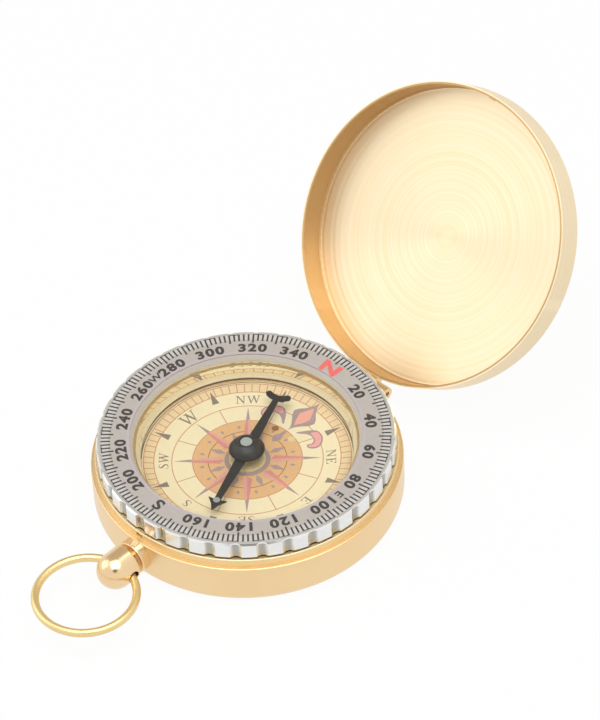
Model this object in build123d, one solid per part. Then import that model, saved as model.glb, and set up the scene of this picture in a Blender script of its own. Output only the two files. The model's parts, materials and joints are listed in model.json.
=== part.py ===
from build123d import *

import math
import os

# Pocket compass in a hinged brass case. A push crown carries the bow and works the lid's latch,
# a clear bezel with a degree scale turns round the capsule, and a needle turns over a compass rose.
# Lengths are millimetres, angles degrees. The origin is the centre of the flat underside, +Z points
# up through the dial, the hinge is on +Y and the crown on -Y. The lid stands open at its stop.

# Fits shared by several pieces
overrun = 1.0
seat_gap = 0.02
running_gap = 0.05
edge_break = 0.2

# Case, drawn from brass sheet
case_diameter = 50.0
shoulder_height = 7.6
case_sheet = 0.8
base_corner = 2.0
neck_height = 1.4

# Lid, drawn from thinner sheet
lid_sheet = 0.5
lid_fit = 0.2
lid_seat_gap = 0.05
lid_headroom = 0.3
lid_dome_rise = 0.7
lid_corner = 0.9
lid_open_angle = 129.0
catch_depth = 0.15
catch_height = 0.3
catch_width = 1.2

# Hinge
barrel_diameter = 2.3
barrel_sink = 0.15
hinge_wall_gap = 0.15
hinge_drop = 1.6
lid_knuckle_length = 5.0
case_knuckle_length = 3.75
knuckle_gap = 0.1
hinge_pin_diameter = 1.0
pin_end_recess = 0.5
leaf_thickness = 0.7
leaf_lap = 1.5
stop_heel_thickness = 0.5
stop_heel_angle = 60.0
stop_gap = 0.05

# Pendant tube, crown and latch
collar_diameter = 5.6
collar_height = 1.5
tube_spigot_diameter = 4.4
tube_top_margin = 0.6
tube_bore = 3.2
tube_step_depth = 2.5
tube_end_gap = 0.05
crown_diameter = 6.0
crown_barrel_length = 2.6
crown_travel = 0.7
crown_end_gap = 0.1
crown_spigot_length = 1.1
screw_diameter = 1.4
screw_grip = 1.0
screw_head_diameter = 2.6
screw_head_height = 0.5
guide_gap = 0.05
latch_thickness = 0.7
latch_width = 3.0
latch_nose_width = 1.0
latch_nose_height = 0.4
latch_gap = 0.1
latch_reach = 0.15
latch_foot = 1.2
latch_lead_height_share = 0.3
spring_wire = 0.28
spring_diameter = 2.3
spring_turns = 2.5
spring_samples = 200

# Bow
bow_diameter = 15.9
bow_wire = 1.34
bow_gap = 0.08
bow_hole_offset = 1.45
bow_hole_drop = 0.4

# Capsule, dial and crystal
dial_share = 0.676
dial_edge_gap = 0.1
dial_card_thickness = 0.4
dial_flat_share = 0.722
dial_rise = 0.6
dial_depth = 4.3
capsule_wall = 0.65
capsule_floor = 1.2
capsule_flange_width = 2.2
capsule_flange_height = 0.8
seam_drop = 2.65
gasket_thickness = 0.5
gasket_lip = 0.05
rim_bead_width = 0.3
rim_bead_height = 0.45
crystal_thickness = 0.6
crystal_edge_inset = 0.1
crystal_chamfer = 0.15
crystal_drop = 1.2

# Seat of the capsule in the case
retainer_thickness = 0.6
retainer_drop = 0.85
retainer_inset = 1.1
spacer_foot_thickness = 1.2
spacer_foot_gap = 0.38
spacer_wall = 1.0
spacer_ledge = 3.1

# Bezel
bezel_inset = 0.4
bezel_height = 2.85
bezel_gap = 0.25
bezel_bead_gap = 0.1
bezel_lip_height = 1.0
bezel_lip_gap = 0.15
bezel_inner_chamfer = 0.5
bezel_inner_drop = 0.9
bezel_rim_width = 0.65
bezel_rim_flat = 0.4
bezel_shoulder_drop = 0.25
bezel_outer_wall = 1.2
bezel_inner_wall = 1.8
bezel_web = 1.1
grip_count = 36
grip_cutter_diameter = 2.6
grip_depth = 0.4
scale_thickness = 0.25
scale_edge_gap = 0.05

# Needle and pivot
pivot_base_diameter = 5.9
pivot_base_height = 0.4
pivot_boss_diameter = 2.2
pivot_boss_height = 0.4
pivot_spigot_diameter = 1.8
pivot_spigot_depth = 0.8
pivot_pin_diameter = 0.6
pivot_cone_height = 0.45
needle_lift = 2.1
needle_thickness = 0.3
needle_rest_angle = 20.8
needle_eye_diameter = 5.2
needle_north_share = 0.734
needle_south_share = 0.84
needle_root_width = 1.9
needle_tip_width = 0.9
tee_width = 3.2
tee_bow = 0.55
tee_bar = 1.05
arrow_width = 3.1
arrow_length = 2.5
arrow_waist_share = 0.45
arrow_waist_place_share = 0.42
arrow_notch_share = 0.1
hub_diameter = 5.8
hub_height = 1.6
hub_side = 0.2
hub_top_margin = 0.35
hub_mouth = 1.2
jewel_diameter = 1.9
jewel_seat = 0.25
jewel_stand = 0.1
jewel_cup_diameter = 1.1
jewel_cup_depth = 0.6
pivot_play = 0.1
tail_dot_diameter = 1.1
tail_dot_thickness = 0.1
tail_dot_setback = 2.15

# Radii and heights that follow from the sizes above
case_radius = case_diameter / 2
lid_bore = case_radius - lid_sheet
neck_radius = lid_bore - lid_fit
neck_bore = neck_radius - case_sheet
neck_top = shoulder_height + neck_height
bezel_bottom = neck_top + bezel_gap
bezel_top = bezel_bottom + bezel_height
bezel_radius = neck_radius - bezel_inset
crystal_bottom = bezel_top - crystal_drop
dial_top = crystal_bottom - dial_depth
dial_bottom = dial_top - dial_card_thickness
capsule_bottom = dial_bottom - capsule_floor
dial_radius = case_radius * dial_share
capsule_bore = dial_radius + dial_edge_gap
capsule_radius = capsule_bore + capsule_wall
seam_bottom = crystal_bottom - seam_drop - gasket_thickness
retainer_top = neck_top - retainer_drop
flange_top = retainer_top - retainer_thickness
flange_bottom = flange_top - capsule_flange_height
bead_radius = capsule_radius + rim_bead_width
bezel_bore = bead_radius + bezel_bead_gap
lid_rim = shoulder_height + lid_seat_gap
lid_ceiling = bezel_top + lid_headroom
nose_bottom = lid_rim + 2 * latch_gap + catch_height
nose_top = nose_bottom + latch_nose_height
scale_seat = bezel_top - scale_thickness
scale_seat_edge = bezel_radius - bezel_rim_width
barrel_radius = barrel_diameter / 2
hinge_offset = barrel_radius - barrel_sink
hinge_y = case_radius + hinge_offset
hinge_z = shoulder_height - hinge_drop
crown_z = shoulder_height - tube_top_margin - tube_spigot_diameter / 2
collar_end = case_radius + collar_height
crown_start = collar_end + crown_travel + crown_end_gap
crown_radius = crown_diameter / 2
tube_inner_end = neck_bore - tube_end_gap
spring_seat = collar_end - tube_step_depth
crown_spigot_end = crown_start - crown_spigot_length
bow_radius = bow_diameter / 2
bow_sag = bow_radius - math.sqrt(bow_radius**2 - crown_radius**2)
bow_hole_radius = bow_wire / 2 + bow_sag / 2 + bow_gap
bow_hole_place = crown_start + bow_hole_offset
bow_z = crown_z - bow_hole_drop
needle_north_length = dial_radius * needle_north_share
needle_south_length = dial_radius * needle_south_share
needle_bottom = dial_top + needle_lift
needle_top = needle_bottom + needle_thickness
jewel_bottom = needle_top + jewel_seat

# From the crown's own axis, run along +Z, to its place on the case
outward = Pos(0, 0, crown_z) * Rot(X=90)
# From the closed lid to the open one
lid_opening = Pos(0, hinge_y, hinge_z) * Rot(X=-lid_open_angle) * Pos(0, -hinge_y, -hinge_z)
# From a needle pointing along +Y to its place at rest
needle_turn = Rot(Z=needle_rest_angle)


def turned(corners, rounds=None):
    """Solid turned about Z from (radius, height) corners, with radii for the corners to be rounded."""
    face = make_face(Polyline(*corners, close=True))
    for number, round_radius in (rounds or {}).items():
        face = fillet(face.vertices().sort_by_distance(corners[number])[0], round_radius)
    return spun(face)


def spun(face):
    """Solid turned about Z from a flat face drawn in radius and height."""
    return revolve(Plane.XZ * face, Axis.Z)


def upright(radius, bottom, top):
    """Cylinder on the Z axis between two heights."""
    return Pos(0, 0, (bottom + top) / 2) * Cylinder(radius, top - bottom)


def ring(inner, outer, bottom, top):
    """Plain ring on the Z axis."""
    return upright(outer, bottom, top) - upright(inner, bottom - overrun, top + overrun)


def block(x_range, y_range, z_range):
    """Box between the given limits."""
    spans = [x_range, y_range, z_range]
    middle = [(low + high) / 2 for low, high in spans]
    return Pos(*middle) * Box(*[high - low for low, high in spans])


def latch_outer_face():
    """Distance of the latch plate's outer face from the dial's axis."""
    return tube_inner_end - running_gap


def inner_latch_limit():
    """Radius that the pressed latch reaches on the inside, with its gap."""
    return latch_outer_face() - latch_thickness - crown_travel - 2 * latch_gap


def latch_passage(clear, bottom, top):
    """Space that the latch's nose needs on its way through the wall beside the crown."""
    half = latch_nose_width / 2 + clear
    return block((-half, half), (-case_radius, -inner_latch_limit()), (bottom, top))


def case_shell():
    """Drawn cup with a stepped neck, a hole for the pendant tube and a window for the latch."""
    inside = case_radius - case_sheet
    step = shoulder_height - case_sheet
    corners = [
        (0, 0),
        (case_radius, 0),
        (case_radius, shoulder_height),
        (neck_radius, shoulder_height),
        (neck_radius, neck_top),
        (neck_bore, neck_top),
        (neck_bore, step),
        (inside, step),
        (inside, case_sheet),
        (0, case_sheet),
    ]
    rounds = {1: base_corner, 2: edge_break, 4: edge_break, 8: base_corner - case_sheet}
    shell = turned(corners, rounds)
    shell -= outward * upright(tube_spigot_diameter / 2, tube_inner_end, case_radius + overrun)
    groove = Cylinder(barrel_radius + hinge_wall_gap, lid_knuckle_length + 2 * knuckle_gap)
    shell -= Pos(0, hinge_y, hinge_z) * Rot(Y=90) * groove
    return shell - latch_passage(latch_gap, nose_bottom - latch_gap, nose_top + latch_gap)


def lid_shell():
    """Shallow domed cup, turned closed and swung open."""
    outer_edge = lid_ceiling + lid_sheet
    outer_peak = (0, outer_edge + lid_dome_rise)
    inner_peak = (0, lid_ceiling + lid_dome_rise)
    side = Polyline(
        (case_radius, outer_edge),
        (case_radius, lid_rim),
        (lid_bore, lid_rim),
        (lid_bore, lid_ceiling),
    )
    top = TangentArc(outer_peak, (case_radius, outer_edge), tangent=(1, 0))
    under = TangentArc(inner_peak, (lid_bore, lid_ceiling), tangent=(1, 0))
    face = make_face([top, side, under, Line(inner_peak, outer_peak)])
    for corner, round_radius in (
        ((case_radius, outer_edge), lid_corner),
        ((lid_bore, lid_ceiling), lid_corner - lid_sheet),
    ):
        face = fillet(face.vertices().sort_by_distance(corner)[0], round_radius)
    return lid_opening * spun(face)


def lid_catch():
    """Lip inside the lid's rim that the latch holds."""
    bottom = lid_rim + latch_gap
    top = bottom + catch_height
    lip = ring(lid_bore - catch_depth, lid_bore, bottom, top)
    return lid_opening * (lip & block((-catch_width / 2, catch_width / 2), (-case_radius, 0), (bottom, top)))


def pin_way(bore):
    """Cutter along X for the hinge pin's way through a knuckle."""
    return Rot(Y=90) * Cylinder(bore, lid_knuckle_length + 2 * case_knuckle_length)


def lid_hinge():
    """Middle knuckle with the leaf that laps the lid's wall and the heel that stops the lid."""
    half = lid_knuckle_length / 2
    place = Pos(0, hinge_y, hinge_z)
    knuckle_bore = hinge_pin_diameter / 2 + running_gap
    leaf = block(
        (-half, half),
        (lid_bore, case_radius + hinge_wall_gap + leaf_thickness),
        (hinge_z, lid_rim + leaf_lap),
    )
    leaf -= upright(case_radius + hinge_wall_gap, hinge_z - overrun, lid_rim)
    leaf -= upright(case_radius, lid_rim, lid_rim + leaf_lap + overrun)
    lean = math.radians(stop_heel_angle)
    heel_reach = hinge_offset - stop_gap - stop_heel_thickness / 2 * math.sin(lean)
    heel = block(
        (-half, half),
        (0, heel_reach / math.cos(lean)),
        (-stop_heel_thickness / 2, stop_heel_thickness / 2),
    )
    heel = Rot(X=180 + stop_heel_angle + lid_open_angle) * heel
    knuckle = Rot(Y=90) * Cylinder(barrel_radius, lid_knuckle_length)
    return lid_opening * (leaf + place * (knuckle + heel) - place * pin_way(knuckle_bore))


def case_hinge():
    """Two outer knuckles, each on a saddle that fits the case wall."""
    near = lid_knuckle_length / 2 + knuckle_gap
    far = near + case_knuckle_length
    wall_y = math.sqrt(case_radius**2 - far**2)
    knuckles = []
    for side in (-1, 1):
        saddle = block(
            sorted((side * near, side * far)),
            (wall_y - overrun, hinge_y),
            (hinge_z - barrel_radius, hinge_z + barrel_radius / 2),
        )
        place = Pos(side * (near + far) / 2, hinge_y, hinge_z)
        knuckle = saddle + place * Rot(Y=90) * Cylinder(barrel_radius, case_knuckle_length)
        knuckle -= upright(case_radius, 0, shoulder_height + overrun)
        knuckles.append(knuckle - place * pin_way(hinge_pin_diameter / 2))
    return Compound(children=knuckles)


def hinge_pin():
    """Pin through the three knuckles, set back a little from both ends."""
    length = lid_knuckle_length + 2 * (knuckle_gap + case_knuckle_length - pin_end_recess)
    return Pos(0, hinge_y, hinge_z) * Rot(Y=90) * Cylinder(hinge_pin_diameter / 2, length)


def spigot_root():
    """Distance from the dial's axis where the collar starts, inside the wall's curve."""
    return math.sqrt(case_radius**2 - (collar_diameter / 2) ** 2) - overrun


def pendant_tube():
    """Collar against the case wall with a spigot through it, bored for the spring and the screw."""
    spigot = tube_spigot_diameter / 2
    collar = upright(collar_diameter / 2, spigot_root(), collar_end)
    collar = fillet(collar.edges().sort_by(Axis.Z)[-1], edge_break)
    tube = outward * collar - upright(case_radius, 0, neck_top)
    tube += outward * upright(spigot, tube_inner_end, case_radius + edge_break)
    tube -= outward * upright(tube_bore / 2, spring_seat, collar_end + overrun)
    guide = screw_diameter / 2 + guide_gap
    return tube - outward * upright(guide, tube_inner_end - overrun, collar_end)


def crown():
    """Round-ended knob with a spigot for the tube, a hole for the bow and one for the screw."""
    ball = crown_start + crown_barrel_length
    spigot = tube_bore / 2 - running_gap
    profile = make_face([
        Polyline(
            (0, ball + crown_radius),
            (0, crown_spigot_end),
            (spigot, crown_spigot_end),
            (spigot, crown_start),
            (crown_radius, crown_start),
            (crown_radius, ball),
        ),
        RadiusArc((crown_radius, ball), (0, ball + crown_radius), -crown_radius),
    ])
    profile = fillet(profile.vertices().sort_by_distance((crown_radius, crown_start))[0], edge_break)
    knob = spun(profile)
    hole = Rot(Y=90) * Cylinder(bow_hole_radius, crown_diameter + overrun)
    knob -= Pos(0, -bow_hole_drop, bow_hole_place) * hole
    knob -= upright(screw_diameter / 2, crown_spigot_end - overrun, crown_spigot_end + screw_grip)
    return outward * knob


def crown_screw():
    """Screw from inside the case through latch, tube and spring into the crown."""
    head_top = latch_outer_face() - latch_thickness
    screw = upright(screw_diameter / 2, head_top, crown_spigot_end + screw_grip)
    head = upright(screw_head_diameter / 2, head_top - screw_head_height, head_top)
    return outward * (screw + head)


def latch_hook():
    """Plate on the screw with a narrow stem whose nose comes out through the neck over the catch."""
    outer = latch_outer_face()
    inner = outer - latch_thickness
    shoulder = flange_top - latch_gap
    lead = nose_bottom + (nose_top - nose_bottom) * latch_lead_height_share
    tip = neck_radius + latch_reach
    outline = Polyline(
        (0, -inner, shoulder),
        (0, -outer, shoulder),
        (0, -outer, nose_bottom),
        (0, -tip, nose_bottom),
        (0, -tip, lead),
        (0, -outer, nose_top),
        (0, -inner, nose_top),
        close=True,
    )
    stem = extrude(make_face(outline), latch_nose_width / 2, both=True)
    plate = block(
        (-latch_width / 2, latch_width / 2), (-outer, -inner), (crown_z - latch_foot, shoulder)
    )
    return stem + plate - outward * upright(screw_diameter / 2, inner - overrun, outer + overrun)


def helix_point(turn):
    """Point and unit tangent of the crown spring's centre line after some turns from its seat."""
    radius = spring_diameter / 2
    rise = (crown_spigot_end - spring_seat - spring_wire) / spring_turns
    angle = 2 * math.pi * turn
    across = radius * math.cos(angle)
    along = radius * math.sin(angle)
    point = Vector(across, along, spring_seat + spring_wire / 2 + rise * turn)
    return point, Vector(-along, across, rise / (2 * math.pi)).normalized()


def crown_spring():
    """Coil round the screw, swept along pairs of tangent arcs a quarter turn long."""
    arcs = []
    steps = round(spring_turns * 4)
    for step in range(steps):
        start, heading = helix_point(spring_turns * step / steps)
        end, ending = helix_point(spring_turns * (step + 1) / steps)
        chord = end - start
        both = heading + ending
        a = both.dot(both) - 4
        b = -2 * chord.dot(both)
        reach = (-b - math.sqrt(b * b - 4 * a * chord.dot(chord))) / (2 * a)
        middle = (start + heading * reach + end - ending * reach) * 0.5
        arcs.append(TangentArc(start, middle, tangent=heading))
        arcs.append(TangentArc(middle, end, tangent=end - ending * reach - start - heading * reach))
    path = Wire([arc.edge() for arc in arcs])
    start, heading = helix_point(0)
    section = Plane(start, z_dir=heading) * Circle(spring_wire / 2)
    return outward * sweep(section, path)


def spring_gap():
    """Least gap between neighbouring turns of the crown spring, measured on points."""
    samples = [helix_point(spring_turns * i / spring_samples)[0] for i in range(spring_samples + 1)]
    apart = round(spring_samples / spring_turns / 2)
    pairs = [(p - q).length for i, p in enumerate(samples) for q in samples[i + apart:]]
    return min(pairs) - spring_wire


def bow_ring():
    """Wire ring through the crown, standing straight out."""
    centre = bow_hole_place - bow_sag / 2 + bow_radius
    return Pos(0, -centre, bow_z) * Torus(bow_radius, bow_wire / 2)


def spacer_ring():
    """Turned seat under the capsule: foot, centring wall and ledge."""
    wall_bore = capsule_radius + seat_gap
    wall_outside = wall_bore + spacer_wall
    ledge_bore = capsule_radius - spacer_ledge
    foot_edge = case_radius - base_corner - spacer_foot_gap
    foot_top = case_sheet + spacer_foot_thickness
    return turned([
        (ledge_bore, case_sheet),
        (foot_edge, case_sheet),
        (foot_edge, foot_top),
        (wall_outside, foot_top),
        (wall_outside, flange_bottom),
        (wall_bore, flange_bottom),
        (wall_bore, capsule_bottom),
        (ledge_bore, capsule_bottom),
    ])


def capsule_cup():
    """Lower half of the capsule with its flange and the hole for the pivot's spigot."""
    cup = turned([
        (0, capsule_bottom),
        (capsule_radius, capsule_bottom),
        (capsule_radius, flange_bottom),
        (capsule_radius + capsule_flange_width, flange_bottom),
        (capsule_radius + capsule_flange_width, flange_top),
        (capsule_radius, flange_top),
        (capsule_radius, seam_bottom),
        (capsule_bore, seam_bottom),
        (capsule_bore, dial_bottom),
        (0, dial_bottom),
    ])
    hole_bottom = dial_bottom - pivot_spigot_depth
    return cup - upright(pivot_spigot_diameter / 2, hole_bottom, dial_bottom + overrun)


def capsule_gasket():
    """Seal between the capsule's halves, with a lip that shows inside."""
    return ring(capsule_bore - gasket_lip, capsule_radius, seam_bottom, seam_bottom + gasket_thickness)


def capsule_rim():
    """Upper half of the capsule's wall with the bead that keeps the bezel down."""
    bead_bottom = crystal_bottom - rim_bead_height
    rim_top = crystal_bottom - seat_gap
    return turned([
        (capsule_bore, seam_bottom + gasket_thickness),
        (capsule_radius, seam_bottom + gasket_thickness),
        (capsule_radius, bead_bottom),
        (bead_radius, bead_bottom),
        (bead_radius, rim_top),
        (capsule_bore, rim_top),
    ])


def crystal():
    """Flat window on top of the capsule."""
    radius = bead_radius - crystal_edge_inset
    disc = upright(radius, crystal_bottom, crystal_bottom + crystal_thickness)
    return chamfer(disc.edges().sort_by(Axis.Z)[-1], crystal_chamfer)


def retaining_ring():
    """Ring pressed into the neck that holds the capsule's flange down, notched for the latch."""
    plate = ring(capsule_radius + retainer_inset, neck_bore - seat_gap, flange_top, retainer_top)
    return plate - latch_passage(latch_gap, flange_top - overrun, retainer_top + overrun)


def dial_card():
    """Dished disc that carries the rose: flat under the needle's hub, rising towards its edge."""
    hole = pivot_spigot_diameter / 2
    return turned([
        (hole, dial_bottom),
        (dial_radius, dial_bottom),
        (dial_radius, dial_top + dial_rise),
        (dial_radius * dial_flat_share, dial_top),
        (hole, dial_top),
    ])


def bezel_ring():
    """Clear moulded ring: grip notches, flat seat for the scale, hollow underside and snap lip."""
    lip_top = crystal_bottom - rim_bead_height - bezel_lip_gap
    lip_bottom = lip_top - bezel_lip_height
    lip_bore = capsule_radius + running_gap
    hollow_in = bezel_bore + bezel_inner_wall
    hollow_out = bezel_radius - bezel_outer_wall
    body = turned([
        (lip_bore, lip_bottom),
        (hollow_in, lip_bottom),
        (hollow_in, scale_seat - bezel_web),
        (hollow_out, scale_seat - bezel_web),
        (hollow_out, bezel_bottom),
        (bezel_radius, bezel_bottom),
        (bezel_radius, bezel_top - bezel_shoulder_drop),
        (scale_seat_edge + bezel_rim_flat, bezel_top),
        (scale_seat_edge, bezel_top),
        (scale_seat_edge, scale_seat),
        (bezel_bore + bezel_inner_chamfer, scale_seat),
        (bezel_bore, bezel_top - bezel_inner_drop),
        (bezel_bore, lip_top),
        (lip_bore, lip_top),
    ])
    cutter_place = bezel_radius - grip_depth + grip_cutter_diameter / 2
    cutter = upright(grip_cutter_diameter / 2, bezel_bottom - overrun, bezel_top + overrun)
    cutter = Pos(0, cutter_place, 0) * cutter
    return body - [Rot(Z=360 * i / grip_count) * cutter for i in range(grip_count)]


def scale_ring():
    """Printed degree scale lying in the bezel's seat."""
    inner = bezel_bore + bezel_inner_chamfer + scale_edge_gap
    return ring(inner, scale_seat_edge - scale_edge_gap, scale_seat, bezel_top)


def pivot_base():
    """Brass foot of the pivot on the dial."""
    boss_top = dial_top + pivot_base_height + pivot_boss_height
    base = upright(pivot_spigot_diameter / 2, dial_bottom - pivot_spigot_depth, dial_top)
    plate = upright(pivot_base_diameter / 2, dial_top, dial_top + pivot_base_height)
    plate = fillet(plate.edges().sort_by(Axis.Z)[-1], edge_break)
    base += plate + upright(pivot_boss_diameter / 2, dial_top, boss_top)
    return base - upright(pivot_pin_diameter / 2, dial_bottom, boss_top + overrun)


def pivot_pin():
    """Pointed pin that the needle's jewel rides on."""
    point = jewel_bottom + jewel_cup_depth - pivot_play
    radius = pivot_pin_diameter / 2
    shoulder = point - pivot_cone_height
    return turned([(0, dial_bottom), (radius, dial_bottom), (radius, shoulder), (0, point)])


def needle_blade():
    """Flat needle with a bowed cross bar on its north end and an arrow on its south end."""
    eye = Circle(needle_eye_diameter / 2)
    root = needle_root_width / 2
    neck = needle_tip_width / 2
    barbs = arrow_length - needle_south_length
    north = needle_north_length
    shaft = make_face(Polyline((-root, 0), (-neck, north), (neck, north), (root, 0), close=True))
    half = tee_width / 2
    tee_line = ThreePointArc((-half, north + tee_bow), (0, north), (half, north + tee_bow))
    tee = SlotArc(tee_line, tee_bar)
    waist = arrow_width / 2 * arrow_waist_share
    waist_y = barbs - arrow_length * arrow_waist_place_share
    notch_y = barbs - arrow_length * arrow_notch_share
    tail = make_face(Polyline((-root, 0), (-neck, waist_y), (neck, waist_y), (root, 0), close=True))
    arrow = make_face(Polyline(
        (0, -needle_south_length),
        (waist, waist_y),
        (arrow_width / 2, barbs),
        (0, notch_y),
        (-arrow_width / 2, barbs),
        (-waist, waist_y),
        close=True,
    ))
    outline = eye + shaft + tail + tee + arrow - Circle(hub_mouth / 2)
    return needle_turn * Pos(0, 0, needle_bottom) * extrude(outline, needle_thickness)


def needle_hub():
    """Domed cap on the needle, bored for the jewel."""
    base = hub_diameter / 2
    top = needle_top + hub_height
    top_edge = jewel_diameter / 2 + hub_top_margin
    profile = make_face([
        Polyline(
            (top_edge, top),
            (jewel_diameter / 2, top),
            (jewel_diameter / 2, jewel_bottom),
            (hub_mouth / 2, jewel_bottom),
            (hub_mouth / 2, needle_top),
            (base, needle_top),
            (base, needle_top + hub_side),
        ),
        RadiusArc((base, needle_top + hub_side), (top_edge, top), -hub_diameter / 2),
    ])
    return spun(profile)


def jewel_bearing():
    """Jewel with a cupped underside that rides on the pivot's point."""
    cup = jewel_cup_diameter / 2
    return turned([
        (0, jewel_bottom + jewel_cup_depth),
        (cup, jewel_bottom),
        (jewel_diameter / 2, jewel_bottom),
        (jewel_diameter / 2, needle_top + hub_height + jewel_stand),
        (0, needle_top + hub_height + jewel_stand),
    ])


def tail_dot():
    """Luminous dot on the needle's arrow."""
    place = Pos(0, tail_dot_setback - needle_south_length, 0)
    dot = upright(tail_dot_diameter / 2, needle_top, needle_top + tail_dot_thickness)
    return needle_turn * place * dot


pieces = [
    case_shell,
    case_hinge,
    hinge_pin,
    lid_shell,
    lid_catch,
    lid_hinge,
    pendant_tube,
    crown,
    crown_screw,
    latch_hook,
    crown_spring,
    bow_ring,
    spacer_ring,
    retaining_ring,
    capsule_cup,
    capsule_gasket,
    capsule_rim,
    crystal,
    dial_card,
    bezel_ring,
    scale_ring,
    pivot_base,
    pivot_pin,
    needle_blade,
    needle_hub,
    jewel_bearing,
    tail_dot,
]

os.makedirs("parts", exist_ok=True)
for piece in pieces:
    export_step(piece(), f"parts/{piece.__name__}.step")
print(f"least gap between the crown spring's turns: {spring_gap():.2f} mm")
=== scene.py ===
"""Dresses a brass pocket compass: camera, light, finishes, printed dial and printed bezel scale."""

import json
import logging
import math
from dataclasses import dataclass, field
from enum import Enum
from typing import Any, Sequence

import bmesh
import bpy
from mathutils import Matrix, Vector

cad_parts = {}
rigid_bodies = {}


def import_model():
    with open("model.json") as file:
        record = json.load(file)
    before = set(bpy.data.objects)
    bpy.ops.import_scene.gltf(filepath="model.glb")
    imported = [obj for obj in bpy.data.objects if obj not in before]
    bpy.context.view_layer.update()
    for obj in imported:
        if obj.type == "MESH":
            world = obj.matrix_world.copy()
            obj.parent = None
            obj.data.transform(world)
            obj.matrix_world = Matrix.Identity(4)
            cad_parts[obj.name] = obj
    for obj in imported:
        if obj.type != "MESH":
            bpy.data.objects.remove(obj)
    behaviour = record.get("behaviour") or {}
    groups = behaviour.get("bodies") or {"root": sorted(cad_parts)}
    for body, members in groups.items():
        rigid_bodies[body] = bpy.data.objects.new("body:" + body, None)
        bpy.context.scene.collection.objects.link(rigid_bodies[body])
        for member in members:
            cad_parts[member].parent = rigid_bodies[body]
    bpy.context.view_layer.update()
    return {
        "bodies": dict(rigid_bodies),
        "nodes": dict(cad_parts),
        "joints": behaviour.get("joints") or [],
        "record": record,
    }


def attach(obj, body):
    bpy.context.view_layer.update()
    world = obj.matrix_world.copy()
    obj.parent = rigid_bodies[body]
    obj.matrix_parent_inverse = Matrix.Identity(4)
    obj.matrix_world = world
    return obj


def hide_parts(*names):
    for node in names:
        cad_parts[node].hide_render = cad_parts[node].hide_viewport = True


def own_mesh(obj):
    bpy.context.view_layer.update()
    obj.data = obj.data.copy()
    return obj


LOG = logging.getLogger("pocket_compass")
MM = 0.001
WHITE = (1.0, 1.0, 1.0, 1.0)
# Values between which a noise texture mostly stays.
NOISE_LOW, NOISE_HIGH = 0.3, 0.7
# Main bearings of a compass and the degrees between two of them.
BEARINGS = 8
BEARING_STEP = 45.0

Colour = tuple[float, float, float, float]
Point = tuple[float, float]
Outline = Sequence[Point]
Frame = dict[str, Any]
Inputs = dict[str | int, Any]
Tree = bpy.types.NodeTree
Socket = bpy.types.NodeSocket


def linear(code: str) -> Colour:
    """Turns an sRGB hex colour into the linear colour that shaders take.

    Args:
        code: Colour such as "#F3D7A6".

    Returns:
        Linear red, green, blue and an alpha of 1.
    """
    parts = [int(code[i:i + 2], 16) / 255 for i in (1, 3, 5)]
    red, green, blue = [c / 12.92 if c <= 0.04045 else ((c + 0.055) / 1.055) ** 2.4 for c in parts]
    return red, green, blue, 1.0


def add_node(tree: Tree, kind: str, inputs: Inputs | None = None, **settings: Any) -> bpy.types.Node:
    """Adds a node, sets its properties and fills or links its inputs.

    Args:
        tree: Node tree that takes the node.
        kind: Blender's name of the node's type.
        inputs: Inputs by name or number; an output socket is linked, anything else is set.
        settings: Properties of the node by name.

    Returns:
        The new node.
    """
    node = tree.nodes.new(kind)
    for name, value in settings.items():
        setattr(node, name, value)
    for key, value in (inputs or {}).items():
        if isinstance(value, Socket):
            tree.links.new(value, node.inputs[key])
        else:
            node.inputs[key].default_value = value
    return node


def new_material(name: str) -> tuple[bpy.types.Material, Tree]:
    """Makes an empty node material.

    Args:
        name: Name of the material.

    Returns:
        The material and its node tree, with no node in it.
    """
    material = bpy.data.materials.new(name)
    material.use_nodes = True
    material.node_tree.nodes.clear()
    return material, material.node_tree


def show(tree: Tree, shader: Socket) -> None:
    """Links a shader to the tree's output."""
    add_node(tree, "ShaderNodeOutputMaterial", {"Surface": shader})


def per_metre(size_mm: float) -> float:
    """Texture scale at which one feature of a pattern has the given size in millimetres."""
    return 1 / (size_mm * MM)


def from_axis(tree: Tree, place: Socket) -> tuple[Socket, Socket]:
    """Measures from the upright axis.

    Args:
        tree: Node tree that takes the nodes.
        place: Place to measure, metres.

    Returns:
        Level vector from the axis to the place, and its length.
    """
    flat = add_node(tree, "ShaderNodeVectorMath", {0: place, 1: (1, 1, 0)}, operation="MULTIPLY").outputs[0]
    return flat, add_node(tree, "ShaderNodeVectorMath", {0: flat}, operation="LENGTH").outputs["Value"]


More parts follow.
